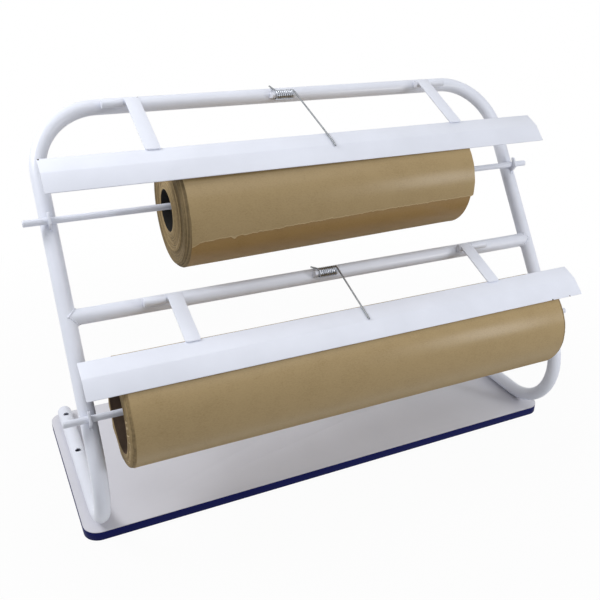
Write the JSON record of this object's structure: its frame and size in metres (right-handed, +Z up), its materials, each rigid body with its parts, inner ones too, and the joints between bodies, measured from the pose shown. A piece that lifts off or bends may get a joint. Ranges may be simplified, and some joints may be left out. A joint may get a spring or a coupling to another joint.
{
  "type": "paper roll dispenser",
  "caption": "Counter stand of bent white tube that carries a wide and a narrow roll of kraft paper, each under a hinged, sprung tear bar, on a laminated board.",
  "frame": {"origin": "centre of the base board's underside, on the counter", "axes": "+X to the right along the rolls as seen from the front, +Y to the back, +Z up"},
  "size_m": [0.713, 0.3548, 0.4882],
  "materials": {
    "white_paint": "gloss white powder coat on steel",
    "board_core": "chipboard under the laminate",
    "laminate": "pale satin laminate",
    "edge_band": "navy plastic edge band",
    "screws": "zinc plated",
    "spring_wire": "drawn spring wire, zinc plated",
    "plugs": "dark moulded plastic",
    "card_core": "spiral wound card tube",
    "dark_core": "dark card tube",
    "kraft_paper": "brown kraft paper, one side satin"
  },
  "bodies": {
    "frame": {"base_board": "board_core", "top_laminate": "laminate", "edge_band": "edge_band", "frame_tube": "white_paint", "mid_rail": "white_paint", "left_foot_cap": "white_paint", "right_foot_cap": "white_paint", "foot_screws": "screws", "upper_left_hook": "white_paint", "upper_right_hook": "white_paint", "lower_left_hook": "white_paint", "lower_right_hook": "white_paint", "upper_left_hinge": "white_paint", "upper_right_hinge": "white_paint", "lower_left_hinge": "white_paint", "lower_right_hinge": "white_paint", "upper_spring_post": "white_paint", "lower_spring_post": "white_paint", "upper_spring": "spring_wire", "lower_spring": "spring_wire"},
    "upper_bar": {"upper_left_knuckle": "white_paint", "upper_right_knuckle": "white_paint", "upper_left_arm": "white_paint", "upper_right_arm": "white_paint", "upper_tear_bar": "white_paint"},
    "lower_bar": {"lower_left_knuckle": "white_paint", "lower_right_knuckle": "white_paint", "lower_left_arm": "white_paint", "lower_right_arm": "white_paint", "lower_tear_bar": "white_paint"},
    "upper_rod": {"upper_spindle": "white_paint"},
    "lower_rod": {"lower_spindle": "white_paint"},
    "upper_roll": {"upper_left_plug": "plugs", "upper_right_plug": "plugs", "upper_core": "dark_core", "upper_paper": "kraft_paper"},
    "lower_roll": {"lower_left_plug": "plugs", "lower_right_plug": "plugs", "lower_core": "card_core", "lower_paper": "kraft_paper"}
  },
  "joints": [
    {"name": "upper_bar_lift", "type": "hinge", "parent": "frame", "child": "upper_bar", "pos_m": [0, 0.05795, 0.4821], "axis": [-1, 0, 0], "range_deg": [0, 90], "stiffness_Nm_per_rad": 0.35, "springref_deg": -40.11, "deforming": ["upper_spring"]},
    {"name": "lower_bar_lift", "type": "hinge", "parent": "frame", "child": "lower_bar", "pos_m": [0, -0.0837, 0.28026], "axis": [-1, 0, 0], "range_deg": [0, 90], "stiffness_Nm_per_rad": 0.35, "springref_deg": -40.11, "deforming": ["lower_spring"]},
    {"name": "upper_rod_turn", "type": "hinge", "parent": "frame", "child": "upper_rod", "pos_m": [0, -0.0187, 0.37094], "axis": [1, 0, 0], "continuous": true},
    {"name": "lower_rod_turn", "type": "hinge", "parent": "frame", "child": "lower_rod", "pos_m": [0, -0.15034, 0.18294], "axis": [1, 0, 0], "continuous": true},
    {"name": "upper_roll_turn", "type": "hinge", "parent": "frame", "child": "upper_roll", "pos_m": [0.009, -0.0187, 0.36844], "axis": [0.9999, 0, 0.0124], "continuous": true},
    {"name": "lower_roll_turn", "type": "hinge", "parent": "lower_rod", "child": "lower_roll", "pos_m": [0, -0.15034, 0.18294], "axis": [1, 0, 0], "continuous": true}
  ]
}
